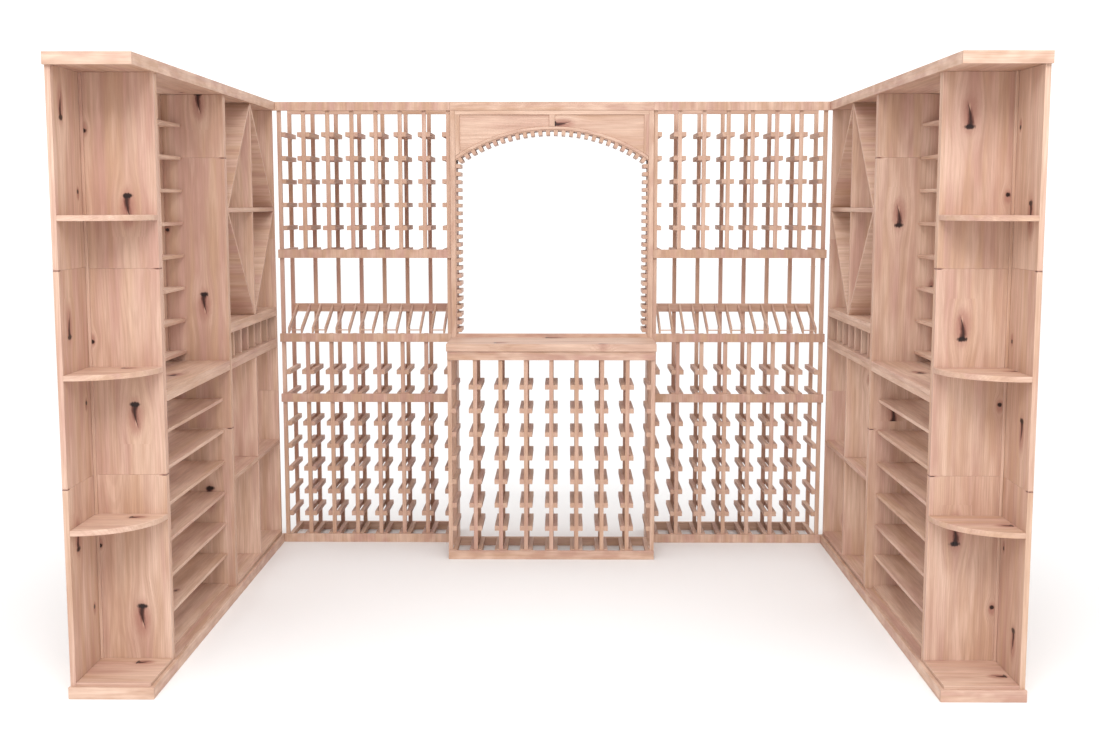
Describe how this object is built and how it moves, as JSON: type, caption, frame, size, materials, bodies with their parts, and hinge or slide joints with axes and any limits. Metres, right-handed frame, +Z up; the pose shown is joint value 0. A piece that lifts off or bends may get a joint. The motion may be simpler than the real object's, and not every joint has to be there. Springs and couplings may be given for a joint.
{
  "type": "wine rack",
  "caption": "U-shaped pine wine cellar rack: two wings with display corners, magnum shelves and case bins, joined by a wall of bottle ladders with a table and an arch.",
  "frame": {"origin": "bottom centre of the whole rack, on the floor", "axes": "+X to the right across the two wings, +Y to the room wall behind the bottle ladders, +Z up; the mouth of the U faces -Y"},
  "size_m": [2.98, 2.321, 1.981],
  "materials": {
    "panel_pine": "unfinished knotty pine, sanded, upright grain",
    "trim_pine": "unfinished pine, sanded, grain along the board",
    "ladder_pine": "unfinished pine sticks, planed, eased edges",
    "shelf_pine": "unfinished knotty pine, sanded, grain along the shelf"
  },
  "bodies": {
    "root": {"arch_header": "panel_pine", "arch_sill": "trim_pine", "arch_slats": "trim_pine", "back_crown": "trim_pine", "left_arch_post": "trim_pine", "left_case_bins": "panel_pine", "left_corner_shelves": "shelf_pine", "left_diamond_lattice": "shelf_pine", "left_display_band": "trim_pine", "left_display_cradles": "ladder_pine", "left_display_row": "shelf_pine", "left_front_partition": "panel_pine", "left_inner_end_panel": "panel_pine", "left_ladder_pair_1": "ladder_pine", "left_ladder_pair_2": "ladder_pine", "left_ladder_pair_3": "ladder_pine", "left_ladder_pair_4": "ladder_pine", "left_lower_band": "trim_pine", "left_magnum_counter": "shelf_pine", "left_magnum_lower_shelves": "shelf_pine", "left_magnum_upper_shelves": "shelf_pine", "left_middle_partition": "panel_pine", "left_rack_base": "trim_pine", "left_top_board": "panel_pine", "left_upper_band": "trim_pine", "left_wall_panel": "panel_pine", "left_wing_base": "trim_pine", "left_wing_crown": "trim_pine", "right_arch_post": "trim_pine", "right_case_bins": "panel_pine", "right_corner_shelves": "shelf_pine", "right_diamond_lattice": "shelf_pine", "right_display_band": "trim_pine", "right_display_cradles": "ladder_pine", "right_display_row": "shelf_pine", "right_front_partition": "panel_pine", "right_inner_end_panel": "panel_pine", "right_ladder_pair_1": "ladder_pine", "right_ladder_pair_2": "ladder_pine", "right_ladder_pair_3": "ladder_pine", "right_ladder_pair_4": "ladder_pine", "right_lower_band": "trim_pine", "right_magnum_counter": "shelf_pine", "right_magnum_lower_shelves": "shelf_pine", "right_magnum_upper_shelves": "shelf_pine", "right_middle_partition": "panel_pine", "right_rack_base": "trim_pine", "right_top_board": "panel_pine", "right_upper_band": "trim_pine", "right_wall_panel": "panel_pine", "right_wing_base": "trim_pine", "right_wing_crown": "trim_pine", "table_base": "trim_pine", "table_end_ladder": "ladder_pine", "table_ladder_pair_1": "ladder_pine", "table_ladder_pair_2": "ladder_pine", "table_ladder_pair_3": "ladder_pine", "table_ladder_pair_4": "ladder_pine", "table_rail": "trim_pine", "table_top": "shelf_pine"}
  },
  "joints": []
}
